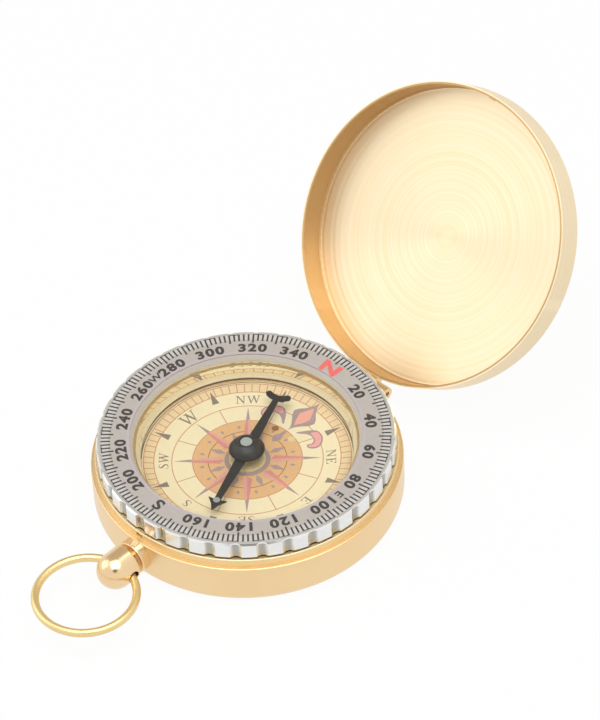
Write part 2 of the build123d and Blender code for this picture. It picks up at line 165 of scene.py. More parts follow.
@dataclass(frozen=True)
class MottledFinish:
    """Painted, moulded or printed surface whose colour and gloss vary a little."""

    name: str
    colour: str
    shade: str
    rough: float = 0.5
    gloss_spread: float = 0.15
    grain_mm: float = 0.4
    grain_depth: float = 0.01
    metallic: float = 0.0
    bump: float = 0.08
    top: str = ""
    top_rise: float = 0.5

    def build(self) -> bpy.types.Material:
        """Grain mixes two close colours and shifts roughness and relief.

        Returns:
            The material, with another colour on upward faces where one is given; the seal's top gets painted
            reflection this way.
        """
        material, tree = new_material(self.name)
        coords = add_node(tree, "ShaderNodeTexCoord").outputs
        grain = add_node(
            tree, "ShaderNodeTexNoise",
            {"Vector": coords["Object"], "Scale": per_metre(self.grain_mm), "Detail": 3.0},
        ).outputs[0]
        colour = add_node(
            tree, "ShaderNodeMix", {"Factor": grain, 6: linear(self.shade), 7: linear(self.colour)},
            data_type="RGBA",
        ).outputs[2]
        # Upward faces take another colour: on the seal this is painted reflection.
        if self.top:
            facing = add_node(tree, "ShaderNodeSeparateXYZ", {0: coords["Normal"]}).outputs[2]
            upward = add_node(tree, "ShaderNodeMath", {0: facing, 1: self.top_rise}, operation="GREATER_THAN")
            colour = add_node(
                tree, "ShaderNodeMix", {"Factor": upward.outputs[0], 6: colour, 7: linear(self.top)},
                data_type="RGBA",
            ).outputs[2]
        gloss = add_node(
            tree, "ShaderNodeMapRange",
            {"Value": grain, "From Min": NOISE_LOW, "From Max": NOISE_HIGH,
             "To Min": self.rough * (1 - self.gloss_spread),
             "To Max": min(1.0, self.rough * (1 + self.gloss_spread))},
        )
        relief = add_node(
            tree, "ShaderNodeBump",
            {"Strength": self.bump, "Distance": self.grain_depth * MM, "Height": grain},
        )
        shader = add_node(
            tree, "ShaderNodeBsdfPrincipled",
            {"Base Color": colour, "Metallic": self.metallic, "Roughness": gloss.outputs[0],
             "Normal": relief.outputs[0]},
        )
        show(tree, shader.outputs[0])
        return material


# Offset print on card or plastic: matt, with a dot screen of about a tenth of a millimetre that is
# drawn four times as coarse as it is, so that it shows as a faint mottle.
class Ink(Enum):
    """Printing inks: full tone and thin tone."""

    PEACH = ("#F9E3B9", "#F4D9A8")
    OCHRE = ("#F0C592", "#E6B57C")
    UMBER = ("#A9773F", "#94642F")
    CORAL = ("#E59C92", "#DB8C82")
    ROSE = ("#EDB5A9", "#E4A497")
    BLUSH = ("#FFB8B4", "#F8A8A3")
    SALMON = ("#FCBBA8", "#F5AB97")
    LILAC = ("#BCA6A4", "#A99290")
    SLATE = ("#998D80", "#867A6D")
    RUST = ("#D99C79", "#CB8762")
    CREAM = ("#F0DFAE", "#E4CE95")
    MIST = ("#D2CECA", "#C8C4C0")
    HEATHER = ("#C8BEC1", "#BDB2B6")
    CHARCOAL = ("#4A4541", "#3A3633")
    SCARLET = ("#F47C76", "#EC6A65")

    def build(self) -> bpy.types.Material:
        """Matt material of the ink, with a faint mottle."""
        name = "offset_ink_" + self.name.lower()
        return MottledFinish(name, *self.value, rough=0.55, grain_mm=0.4, bump=0.03).build()


@dataclass(frozen=True)
class BrassBand:
    """Part of a spun piece with another gloss and a darker tone of painted shade: inside a radius and between
    two heights.
    """

    colour: str
    rough: float
    radius: float
    bottom: float
    top: float

    def mask(self, tree: Tree, radius: Socket, height: Socket) -> Socket:
        """Finds the band on the piece.

        Args:
            tree: Node tree that takes the nodes.
            radius: Distance from the turning axis, metres.
            height: Height along the axis, metres.

        Returns:
            Socket with 1 on the band and 0 off it.
        """
        level = add_node(
            tree, "ShaderNodeMath",
            {0: height, 1: (self.top + self.bottom) / 2 * MM, 2: (self.top - self.bottom) / 2 * MM},
            operation="COMPARE",
        ).outputs[0]
        inside = add_node(tree, "ShaderNodeMath", {0: radius, 1: self.radius * MM}, operation="LESS_THAN")
        return add_node(
            tree, "ShaderNodeMath", {0: level, 1: inside.outputs[0]}, operation="MULTIPLY"
        ).outputs[0]


@dataclass(frozen=True)
class SpunBrass:
    """Polished brass, spun or turned, with fine marks round one axis."""

    name: str
    colour: str
    shade: str
    rough: float
    bump: float
    gloss_spread: tuple[float, float] = (0.8, 1.25)
    mark_mm: float = 0.35
    mark_depth: float = 0.02
    cloud_mm: float = 9.0
    cloud_share: float = 1.0
    anisotropy: float = 0.0
    turn: Matrix = field(default_factory=lambda: Matrix.Identity(4))
    band: BrassBand | None = None
    middle: float = 0.0

    def build(self) -> bpy.types.Material:
        """Marks follow circles round the turning axis; a soft cloud shifts tone and gloss.

        Returns:
            The material.
        """
        material, tree = new_material(self.name)
        coords = add_node(tree, "ShaderNodeTexCoord").outputs["Object"]
        place = add_node(
            tree, "ShaderNodeMapping",
            {"Vector": coords, "Location": self.turn.translation, "Rotation": self.turn.to_euler()},
            vector_type="POINT",
        ).outputs[0]
        flat, radius = from_axis(tree, place)
        height = add_node(tree, "ShaderNodeSeparateXYZ", {0: place}).outputs[2]
        rings = add_node(tree, "ShaderNodeCombineXYZ", {0: radius, 2: height}).outputs[0]
        marks = add_node(
            tree, "ShaderNodeTexNoise",
            {"Vector": rings, "Scale": per_metre(self.mark_mm), "Detail": 4.0, "Roughness": 0.7},
        ).outputs[0]
        cloud = add_node(
            tree, "ShaderNodeTexNoise", {"Vector": coords, "Scale": per_metre(self.cloud_mm), "Detail": 2.0}
        ).outputs[0]
        mixed = add_node(tree, "ShaderNodeMix", {0: self.cloud_share, 2: marks, 3: cloud}).outputs[0]
        tone = add_node(
            tree, "ShaderNodeMapRange", {"Value": mixed, "From Min": NOISE_LOW, "From Max": NOISE_HIGH}
        ).outputs[0]
        colour = add_node(
            tree, "ShaderNodeMix", {"Factor": tone, 6: linear(self.shade), 7: linear(self.colour)},
            data_type="RGBA",
        ).outputs[2]
        glossier, duller = self.gloss_spread
        gloss = add_node(
            tree, "ShaderNodeMapRange",
            {"Value": mixed, "From Min": NOISE_LOW, "From Max": NOISE_HIGH,
             "To Min": self.rough * glossier, "To Max": self.rough * duller},
        ).outputs[0]
        if self.band:
            # The band's darker tone is painted shade.
            on_band = self.band.mask(tree, radius, height)
            colour = add_node(
                tree, "ShaderNodeMix", {"Factor": on_band, 6: colour, 7: linear(self.band.colour)},
                data_type="RGBA",
            ).outputs[2]
            gloss = add_node(tree, "ShaderNodeMix", {0: on_band, 2: gloss, 3: self.band.rough}).outputs[0]
        relief = {"Strength": self.bump, "Distance": self.mark_depth * MM, "Height": marks}
        if self.middle:
            # Round the axis the plain face's direction is used, as the smoothed one is uneven there.
            shape = add_node(tree, "ShaderNodeNewGeometry").outputs
            near = add_node(tree, "ShaderNodeMath", {0: radius, 1: self.middle * MM}, operation="LESS_THAN")
            relief["Normal"] = add_node(
                tree, "ShaderNodeMix",
                {"Factor": near.outputs[0], 4: shape["Normal"], 5: shape["True Normal"]}, data_type="VECTOR",
            ).outputs[1]
        inputs = {
            "Base Color": colour, "Metallic": 1.0, "Roughness": gloss,
            "Normal": add_node(tree, "ShaderNodeBump", relief).outputs[0],
        }
        if self.anisotropy:
            # A turned face spreads the light across its marks.
            turned_back = add_node(
                tree, "ShaderNodeMapping", {"Vector": flat, "Rotation": self.turn.inverted().to_euler()},
                vector_type="VECTOR",
            )
            inputs["Tangent"] = add_node(
                tree, "ShaderNodeVectorTransform", {0: turned_back.outputs[0]},
                vector_type="VECTOR", convert_from="OBJECT", convert_to="WORLD",
            ).outputs[0]
            inputs["Anisotropic"] = self.anisotropy
        show(tree, add_node(tree, "ShaderNodeBsdfPrincipled", inputs).outputs[0])
        return material


# Cast acrylic, polished: the face reflects a little at a slant and is clear otherwise. Light that
# goes into a thick wall comes back from its far side, which shows as a mirror outside a radius. The
# level faces behind it are painted pale cream: painted reflection of the dial, lit as a diffuse face.
@dataclass(frozen=True)
class ClearAcrylic:
    """Clear window or wall."""

    name: str
    tint: str = "#FEFEFD"
    rough: float = 0.03
    ior: float = 1.49
    ripple_mm: float = 3.0
    ripple_depth: float = 0.02
    bump: float = 0.05
    mirror_from: float = 0.0
    mirror: str = "#FCF8EC"
    # Pale cream of the level faces behind the wall: painted reflection of the dial.
    foot: str = "#FBF0D2"
    upright: float = 0.2

    def build(self) -> bpy.types.Material:
        """Clear with gloss by angle on the faces that look outwards, and the mirror and a pale painted
        reflection behind.

        Returns:
            The material.
        """
        material, tree = new_material(self.name)
        coords = add_node(tree, "ShaderNodeTexCoord").outputs
        ripple = add_node(
            tree, "ShaderNodeTexNoise", {"Vector": coords["Object"], "Scale": per_metre(self.ripple_mm)}
        ).outputs[0]
        relief = add_node(
            tree, "ShaderNodeBump",
            {"Strength": self.bump, "Distance": self.ripple_depth * MM, "Height": ripple},
        ).outputs[0]
        slant = add_node(tree, "ShaderNodeFresnel", {"IOR": self.ior, "Normal": relief}).outputs[0]
        inner = add_node(tree, "ShaderNodeNewGeometry").outputs["Backfacing"]
        share = add_node(tree, "ShaderNodeMapRange", {"Value": inner, "To Min": slant, "To Max": 0.0})
        gloss = add_node(
            tree, "ShaderNodeBsdfGlossy", {"Color": WHITE, "Roughness": self.rough, "Normal": relief}
        )
        clear = add_node(tree, "ShaderNodeBsdfTransparent", {"Color": linear(self.tint)})
        body = add_node(
            tree, "ShaderNodeMixShader", {0: share.outputs[0], 1: clear.outputs[0], 2: gloss.outputs[0]}
        ).outputs[0]
        if self.mirror_from:
            _, radius = from_axis(tree, coords["Object"])
            outside = add_node(
                tree, "ShaderNodeMath", {0: radius, 1: self.mirror_from * MM}, operation="GREATER_THAN"
            )
            behind = add_node(
                tree, "ShaderNodeMath", {0: outside.outputs[0], 1: inner}, operation="MULTIPLY"
            )
            silver = add_node(
                tree, "ShaderNodeBsdfGlossy", {"Color": linear(self.mirror), "Roughness": self.rough}
            )
            # Level faces behind the wall: a pale diffuse colour, painted reflection of the dial.
            dial_reflection_paint = add_node(tree, "ShaderNodeBsdfDiffuse", {"Color": linear(self.foot)})
            facing = add_node(tree, "ShaderNodeSeparateXYZ", {0: coords["Normal"]}).outputs[2]
            wall = add_node(
                tree, "ShaderNodeMath", {0: facing, 1: 0.0, 2: self.upright}, operation="COMPARE"
            )
            far = add_node(
                tree, "ShaderNodeMixShader", {0: wall.outputs[0], 1: dial_reflection_paint.outputs[0], 2: silver.outputs[0]}
            )
            body = add_node(
                tree, "ShaderNodeMixShader", {0: behind.outputs[0], 1: body, 2: far.outputs[0]}
            ).outputs[0]
        show(tree, body)
        return material


# Moulded clear styrene: the notched edge sends light about inside, so it gleams nearly white and shows
# what lies behind only in part. The notches are painted grey-beige: painted shade. The bore is milky,
# and painted paler at its foot: painted light.
@dataclass(frozen=True)
class MouldedClear:
    """Thick clear moulding with bright edges, notches darkened by painted shade, and a milky bore lightened
    by painted light at its foot.
    """

    name: str
    colour: str = "#FDFDFC"
    shade: str = "#EEEFED"
    tint: str = "#F2F2F0"
    flow_mm: float = 1.6
    flow_depth: float = 0.05
    bump: float = 0.25
    notch: str = "#B4B2A8"
    notch_radii: tuple[float, float] = (23.5, 23.86)
    notch_from: float = 22.5
    notch_top: float = 11.8
    bore: str = "#D6CFC5"
    bore_foot: str = "#FFF6E0"
    bore_edge: float = 11.2
    bore_radius: float = 18.8
    rough: float = 0.2
    silver: float = 0.85
    solid_share: float = 0.9

    def build(self) -> bpy.types.Material:
        """Silvery gloss with painted shade in the notches, and haze in the bore with painted light at its
        foot, over a clear body.

        Returns:
            The material.
        """
        material, tree = new_material(self.name)
        place = add_node(tree, "ShaderNodeTexCoord").outputs["Object"]
        _, radius = from_axis(tree, place)
        height = add_node(tree, "ShaderNodeSeparateXYZ", {0: place}).outputs[2]
        flow = add_node(
            tree, "ShaderNodeTexNoise", {"Vector": place, "Scale": per_metre(self.flow_mm), "Detail": 2.0}
        ).outputs[0]
        colour = add_node(
            tree, "ShaderNodeMix", {"Factor": flow, 6: linear(self.shade), 7: linear(self.colour)},
            data_type="RGBA",
        ).outputs[2]
        # Faces in the grip notches are painted grey-beige: painted shade.
        low, high = self.notch_radii
        depth = add_node(
            tree, "ShaderNodeMapRange", {"Value": radius, "From Min": high * MM, "From Max": low * MM},
            interpolation_type="SMOOTHSTEP",
        )
        side = add_node(tree, "ShaderNodeMath", {0: height, 1: self.notch_top * MM}, operation="LESS_THAN")
        outer = add_node(
            tree, "ShaderNodeMath", {0: radius, 1: self.notch_from * MM}, operation="GREATER_THAN"
        )
        edge = add_node(
            tree, "ShaderNodeMath", {0: outer.outputs[0], 1: side.outputs[0]}, operation="MULTIPLY"
        )
        notch_shade_mask = add_node(
            tree, "ShaderNodeMath", {0: depth.outputs[0], 1: edge.outputs[0]}, operation="MULTIPLY"
        )
        toned = add_node(
            tree, "ShaderNodeMix", {"Factor": notch_shade_mask.outputs[0], 6: colour, 7: linear(self.notch)},
            data_type="RGBA",
        )
        relief = add_node(
            tree, "ShaderNodeBump", {"Strength": self.bump, "Distance": self.flow_depth * MM, "Height": flow}
        )
        body = add_node(
            tree, "ShaderNodeBsdfPrincipled",
            {"Base Color": toned.outputs[2], "Metallic": self.silver, "Roughness": self.rough,
             "Normal": relief.outputs[0]},
        )
        within = add_node(
            tree, "ShaderNodeMath", {0: radius, 1: self.bore_radius * MM}, operation="LESS_THAN"
        )
        # The bore below its edge is painted paler: painted light where the bore lies in shade.
        foot = add_node(tree, "ShaderNodeMath", {0: height, 1: self.bore_edge * MM}, operation="LESS_THAN")
        milky = add_node(
            tree, "ShaderNodeMix",
            {"Factor": foot.outputs[0], 6: linear(self.bore), 7: linear(self.bore_foot)}, data_type="RGBA",
        )
        haze = add_node(tree, "ShaderNodeBsdfDiffuse", {"Color": milky.outputs[2]})
        solid = add_node(
            tree, "ShaderNodeMixShader", {0: within.outputs[0], 1: body.outputs[0], 2: haze.outputs[0]}
        )
        clear = add_node(tree, "ShaderNodeBsdfTransparent", {"Color": linear(self.tint)})
        show(tree, add_node(
            tree, "ShaderNodeMixShader", {0: self.solid_share, 1: clear.outputs[0], 2: solid.outputs[0]}
        ).outputs[0])
        return material


Finish = MottledFinish | SpunBrass | ClearAcrylic | MouldedClear


@dataclass(frozen=True)
class PrintedFace:
    """Face of revolution that carries print: level out to a radius, then rising."""

    level: float
    flat: float
    slope: float

    def height(self, x: float, y: float) -> float:
        """Height of the face over a point, millimetres."""
        return self.level + max(0.0, math.hypot(x, y) - self.flat) * self.slope


@dataclass
class PrintSheet:
    """Thin raised printing in one ink on one face, gathered into one mesh."""

    name: str
    ink: Ink
    face: PrintedFace
    layer: int
    span: float
    film: float = 0.008
    sink: float = 0.02
    arc_step: float = 2.0
    most_splits: int = 5
    mesh: bmesh.types.BMesh = field(default_factory=bmesh.new)

    def fill(self, outline: Outline) -> None:
        """Adds a closed shape, given by its corners in plan in millimetres."""
        self.mesh.faces.new([self.mesh.verts.new((x, y, 0)) for x, y in outline])

    def ring(self, inner: float, outer: float, start: float = 0.0, sweep: float = 360.0) -> None:
        """Adds a ring or an arc of one.

        Args:
            inner: Inner radius, millimetres.
            outer: Outer radius, millimetres.
            start: Angle at which the arc starts, degrees from +X.
            sweep: Angle that it covers, degrees.
        """
        steps = max(2, round(sweep / self.arc_step))
        angles = [math.radians(start + sweep * i / steps) for i in range(steps + 1)]
        rows = [
            [self.mesh.verts.new((r * math.cos(a), r * math.sin(a), 0)) for r in (inner, outer)]
            for a in angles
        ]
        if sweep == 360:
            for spare in rows.pop():
                self.mesh.verts.remove(spare)
            rows.append(rows[0])
        for (a, b), (c, d) in zip(rows, rows[1:]):
            self.mesh.faces.new((a, b, d, c))

    def split_long_edges(self) -> None:
        """Divides what lies on the slope finely enough to follow it."""
        bmesh.ops.triangulate(self.mesh, faces=self.mesh.faces[:], ngon_method="EAR_CLIP")
        for _ in range(self.most_splits):
            long = [
                e for e in self.mesh.edges
                if e.calc_length() > self.span and max(v.co.length for v in e.verts) > self.face.flat
            ]
            if not long:
                break
            bmesh.ops.subdivide_edges(self.mesh, edges=long, cuts=1)
            bmesh.ops.triangulate(self.mesh, faces=self.mesh.faces[:])

    def finish(self, body: str, slot: str) -> None:
        """Lays the shapes on the face as a closed film that rides on a body.

        Args:
            body: Body of the compass that carries the print.
            slot: Material slot that the print belongs to; not used.
        """
        self.split_long_edges()
        rims = [e for e in self.mesh.edges if e.is_boundary]
        faces = list(self.mesh.faces)
        tops: dict[bmesh.types.BMVert, bmesh.types.BMVert] = {}
        for v in list(self.mesh.verts):
            x, y = v.co.x, v.co.y
            z = self.face.height(x, y)
            tops[v] = self.mesh.verts.new(Vector((x, y, z + self.film * (self.layer + 1))) * MM)
            v.co = Vector((x, y, z - self.sink)) * MM
        for face in faces:
            self.mesh.faces.new([tops[v] for v in face.verts])
        for a, b in [e.verts for e in rims]:
            self.mesh.faces.new((a, b, tops[b], tops[a]))
        bmesh.ops.recalc_face_normals(self.mesh, faces=self.mesh.faces)
        data = bpy.data.meshes.new(self.name)
        self.mesh.to_mesh(data)
        self.mesh.free()
        data.materials.append(self.ink.build())
        piece = bpy.data.objects.new(self.name, data)
        bpy.context.scene.collection.objects.link(piece)
        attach(piece, body)
        LOG.info("printed %s: %d faces", self.name, len(data.polygons))


def along_curve(a: Vector, b: Vector, c: Vector, d: Vector, t: float) -> Vector:
    """Point on a smooth curve through four knots, at a share of the way from the second to the third."""
    return 0.5 * (2 * b + (c - a) * t + (2 * a - 5 * b + 4 * c - d) * t**2 + (3 * b - a - 3 * c + d) * t**3)


def ribbon(spine: Outline, halves: Sequence[float], steps: int = 5) -> list[Point]:
    """Outline of a stroke of changing width along a smooth line.

    Args:
        spine: Points that the line goes through.
        halves: Half of the width at each point.
        steps: Parts between two points.

    Returns:
        Closed outline.
    """
    knots = [Vector((*p, w)) for p, w in zip(spine, halves)]
    ends = [2 * knots[0] - knots[1], *knots, 2 * knots[-1] - knots[-2]]
    line: list[Vector] = []
    for four in zip(ends, ends[1:], ends[2:], ends[3:]):
        line += [along_curve(*four, i / steps) for i in range(steps)]
    line.append(knots[-1])
    left: list[Point] = []
    right: list[Point] = []
    for i, p in enumerate(line):
        along = (line[min(i + 1, len(line) - 1)] - line[max(i - 1, 0)]).xy.normalized()
        left.append((p.x - along.y * p.z, p.y + along.x * p.z))
        right.append((p.x + along.y * p.z, p.y - along.x * p.z))
    return left + right[::-1]


def rounded(corners: Outline, steps: int = 4) -> list[Point]:
    """Closed smooth curve through points.

    Args:
        corners: Points that the curve goes through.
        steps: Parts between two points.

    Returns:
        Closed outline.
    """
    knots = [Vector(p) for p in corners]
    curve: list[Point] = []
    for i, b in enumerate(knots):
        four = knots[i - 1], b, knots[(i + 1) % len(knots)], knots[(i + 2) % len(knots)]
        curve += [tuple(along_curve(*four, k / steps)) for k in range(steps)]
    return curve


def bar(low: float, high: float, width: float) -> Outline:
    """Bar that runs outwards between two radii."""
    half = width / 2
    return (-half, low), (-half, high), (half, high), (half, low)


@dataclass(frozen=True)
class PhotoCamera:
    """Camera that stands where the photograph was taken from."""

    azimuth: float = 46.764
    elevation: float = 45.991
    roll: float = -3.848
    distance: float = 0.6579
    reach: float = 10.0
    focal_px: float = 4086.4
    origin_px: tuple[float, float] = (249.40, 488.13)
    frame_px: tuple[int, int] = (600, 720)
    sensor: float = 24.0

    def build(self) -> None:
        """Aims the camera so that the middle of the frame is the middle of the picture."""
        a, e, r = (math.radians(v) for v in (self.azimuth, self.elevation, self.roll))
        back = Vector((math.sin(a) * math.cos(e), -math.cos(a) * math.cos(e), math.sin(e)))
        level = Vector((math.cos(a), math.sin(a), 0))
        rise = back.cross(level)
        right = level * math.cos(r) + rise * math.sin(r)
        up = rise * math.cos(r) - level * math.sin(r)
        aside = (self.frame_px[0] / 2 - self.origin_px[0]) / self.focal_px
        above = (self.origin_px[1] - self.frame_px[1] / 2) / self.focal_px
        ahead = (right * aside + up * above - back).normalized()
        right = (right - ahead * right.dot(ahead)).normalized()
        up = right.cross(ahead)
        data = bpy.data.cameras.new("photo_camera")
        data.sensor_fit = "VERTICAL"
        data.sensor_height = self.sensor
        data.lens = self.focal_px / self.frame_px[1] * self.sensor
        data.clip_end = self.reach
        camera = bpy.data.objects.new("photo_camera", data)
        camera.matrix_world = Matrix.Translation(back * self.distance) @ Matrix(
            (right, up, -ahead)
        ).transposed().to_4x4()
        bpy.context.scene.collection.objects.link(camera)
        bpy.context.scene.camera = camera


@dataclass(frozen=True)
class Softbox:
    """Square area lamp aimed at the compass, in metres and watts."""

    name: str
    place: tuple[float, float, float]
    size: float
    power: float

    def build(self) -> None:
        """Adds the lamp to the scene."""
        lamp = bpy.data.lights.new(self.name, "AREA")
        lamp.size = self.size
        lamp.energy = self.power
        holder = bpy.data.objects.new(self.name, lamp)
        holder.location = self.place
        holder.rotation_euler = (-Vector(self.place)).to_track_quat("-Z", "Y").to_euler()
        bpy.context.scene.collection.objects.link(holder)


@dataclass(frozen=True)
class TentGap:
    """Round gap in the tent with the dim room behind it; its angles are degrees from its middle."""

    direction: tuple[float, float, float]
    inner_angle: float
    outer_angle: float
    colour: str

    def tint(self, tree: Tree, ray: Socket, colour: Socket | Colour) -> Socket:
        """Darkens the tent's colour inside the gap.

        Args:
            tree: Node tree of the tent.
            ray: Direction in which the tent is looked at.
            colour: Colour of the tent so far.

        Returns:
            Colour with the gap in it.
        """
        toward = add_node(
            tree, "ShaderNodeVectorMath", {0: ray, 1: Vector(self.direction).normalized()},
            operation="DOT_PRODUCT",
        ).outputs["Value"]
        near, far = (math.cos(math.radians(v)) for v in (self.inner_angle, self.outer_angle))
        gap = add_node(
            tree, "ShaderNodeMapRange", {"Value": toward, "From Min": far, "From Max": near},
            interpolation_type="SMOOTHSTEP",
        ).outputs[0]
        return add_node(
            tree, "ShaderNodeMix", {"Factor": gap, 6: colour, 7: linear(self.colour)}, data_type="RGBA"
        ).outputs[2]


@dataclass
class Studio:
    """White table and tent with soft lamps."""

    table_size: float = 3.0
    paper: str = "#F2F2F0"
    tent_light: float = 0.5
    shadow_share: float = 0.05
    gaps: Sequence[TentGap] = (
        TentGap((0.506, -0.476, 0.719), 10.0, 16.0, "#4A3E30"),
        TentGap((-0.506, 0.476, 0.719), 25.0, 48.0, "#CFC8BC"),
    )
    lamps: Sequence[Softbox] = (
        Softbox("key_softbox", (0.12, -0.08, 0.80), 0.75, 4.4),
        Softbox("left_softbox", (-0.60, -0.35, 0.45), 0.60, 1.0),
    )

    def seen(self, tree: Tree) -> Socket:
        """Light path switch: 1 for rays from the camera, from gloss and through glass.

        Args:
            tree: Node tree that takes the nodes.

        Returns:
            Socket with the switch.
        """
        path = add_node(tree, "ShaderNodeLightPath").outputs
        most = path["Is Camera Ray"]
        for other in ("Is Glossy Ray", "Is Transmission Ray"):
            most = add_node(tree, "ShaderNodeMath", {0: most, 1: path[other]}, operation="MAXIMUM").outputs[0]
        return most

    def build_table(self) -> None:
        """Pale table: white where it is seen, with a faint shadow."""
        material, tree = new_material("white_paper_sweep")
        white = add_node(tree, "ShaderNodeEmission", {"Color": WHITE, "Strength": 1.0})
        matt = add_node(tree, "ShaderNodeBsdfDiffuse", {"Color": linear(self.paper)})
        share = add_node(
            tree, "ShaderNodeMath", {0: self.seen(tree), 1: 1 - self.shadow_share}, operation="MULTIPLY"
        )
        show(tree, add_node(
            tree, "ShaderNodeMixShader", {0: share.outputs[0], 1: matt.outputs[0], 2: white.outputs[0]}
        ).outputs[0])
        data = bpy.data.meshes.new("table")
        half = self.table_size / 2
        corners = [(-half, -half, 0), (half, -half, 0), (half, half, 0), (-half, half, 0)]
        data.from_pydata(corners, [], [(0, 1, 2, 3)])
        data.materials.append(material)
        table = bpy.data.objects.new("table", data)
        bpy.context.scene.collection.objects.link(table)

    def build_tent(self) -> None:
        """White tent all round: plain white where it is seen, dimmer as a light, dark in its gaps."""
        world = bpy.data.worlds.new("white_tent")
        bpy.context.scene.world = world
        world.use_nodes = True
        tree = world.node_tree
        tree.nodes.clear()
        strength = add_node(
            tree, "ShaderNodeMapRange", {"Value": self.seen(tree), "To Min": self.tent_light, "To Max": 1.0}
        ).outputs[0]
        ray = add_node(tree, "ShaderNodeTexCoord").outputs["Generated"]
        colour: Socket | Colour = WHITE
        for gap in self.gaps:
            colour = gap.tint(tree, ray, colour)
        light = add_node(tree, "ShaderNodeBackground", {"Color": colour, "Strength": strength})
        add_node(tree, "ShaderNodeOutputWorld", {"Surface": light.outputs[0]})

    def build(self) -> None:
        """Builds table, tent and lamps, and sets a plain view transform."""
        self.build_table()
        self.build_tent()
        for lamp in self.lamps:
            lamp.build()
        bpy.context.scene.view_settings.view_transform = "Standard"


def dress(frame: Frame, finish: Finish, *nodes: str) -> bpy.types.Material:
    """Gives solids of the compass their finish.

    Args:
        frame: Loaded frame.
        finish: Finish that they get.
        nodes: Names of the solids.

    Returns:
        Material of the finish.
    """
    material = finish.build()
    for name in nodes:
        data = frame["nodes"][name].data
        data.materials.clear()
        data.materials.append(material)
        LOG.info("dressed %s in %s", name, material.name)
    return material


@dataclass
class Metalwork:
    """Case, lid, hinge, crown and bow."""

    hinge: tuple[float, float] = (26.0, 6.0)
    open_angle: float = 129.0
    crown_stroke: float = 0.7
    # Below the bezel the case is painted a darker gold: painted shade.
    neck: BrassBand = BrassBand(colour="#ECD3A6", rough=0.45, radius=24.7, bottom=7.5, top=9.1)
    # The lid's inner wall is painted a darker gold: painted shade.
    lid_wall: BrassBand = BrassBand(colour="#D0AC7A", rough=0.55, radius=24.8, bottom=7.0, top=12.39)
    lid_middle: float = 4.9

    def closing(self) -> Matrix:
        """Turn that carries a point on the open lid to where it is on the shut one."""
        to_hinge = Matrix.Translation((0, self.hinge[0] * MM, self.hinge[1] * MM))
        return to_hinge @ Matrix.Rotation(math.radians(self.open_angle), 4, "X") @ to_hinge.inverted()

    def build_spring(self, frame: Frame, finish: bpy.types.Material) -> None:
        """Puts a copy of the spring, with its own mesh, in the place of the stiff solid.

        Args:
            frame: Loaded frame.
            finish: Its material.
        """
        data = frame["nodes"]["crown_spring"].data.copy()
        data.materials.clear()
        data.materials.append(finish)
        spring = bpy.data.objects.new("crown_spring_coil", data)
        bpy.context.scene.collection.objects.link(spring)
        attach(spring, "case")
        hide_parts("crown_spring")
        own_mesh(spring)

    def build(self, frame: Frame) -> None:
        """Dresses the metal pieces.

        Args:
            frame: Loaded frame.
        """
        # Drawn brass, lacquered satin: soft peach-gold with no mark. Just below the bezel it is rougher
        # and painted a darker gold: painted shade.
        wall = SpunBrass("brass_drawn_satin", "#F2D5A6", "#EECD9B", rough=0.30, bump=0.0, band=self.neck)
        dress(frame, wall, "case_shell")
        # Polished brass: mirrors what stands round it.
        bright = SpunBrass("brass_polished", "#EFD2A6", "#E6C496", rough=0.18, bump=0.02)
        dress(frame, bright, "case_hinge", "lid_hinge", "pendant_tube", "crown", "latch_hook")
        # Drawn brass wire: satin, so the light runs along it in one soft line.
        dress(frame, SpunBrass("brass_drawn_wire", "#F0D9A2", "#E8CB8C", rough=0.35, bump=0.02), "bow_ring")
        # Turned brass: fine circles that fan the light out from the middle of the lid. Its tone is paler
        # than the case's brass, painted light for the brightly lit lid; its inner wall is darker, painted
        # shade.
        lid = SpunBrass(
            "brass_turned_lid", "#F8EBD0", "#EFD6A8", rough=0.36, bump=0.22, mark_mm=0.5, cloud_share=0.1,
            anisotropy=0.7, turn=self.closing(), band=self.lid_wall, middle=self.lid_middle,
        )
        dress(frame, lid, "lid_shell", "lid_catch")
        # Steel, bright drawn: cool grey with a clean shine.
        steel = MottledFinish("steel_drawn_bright", "#B9BABC", "#A2A3A6", rough=0.25, metallic=1.0)
        shine = dress(frame, steel, "hinge_pin", "crown_screw", "pivot_pin", "retaining_ring")
        self.build_spring(frame, shine)


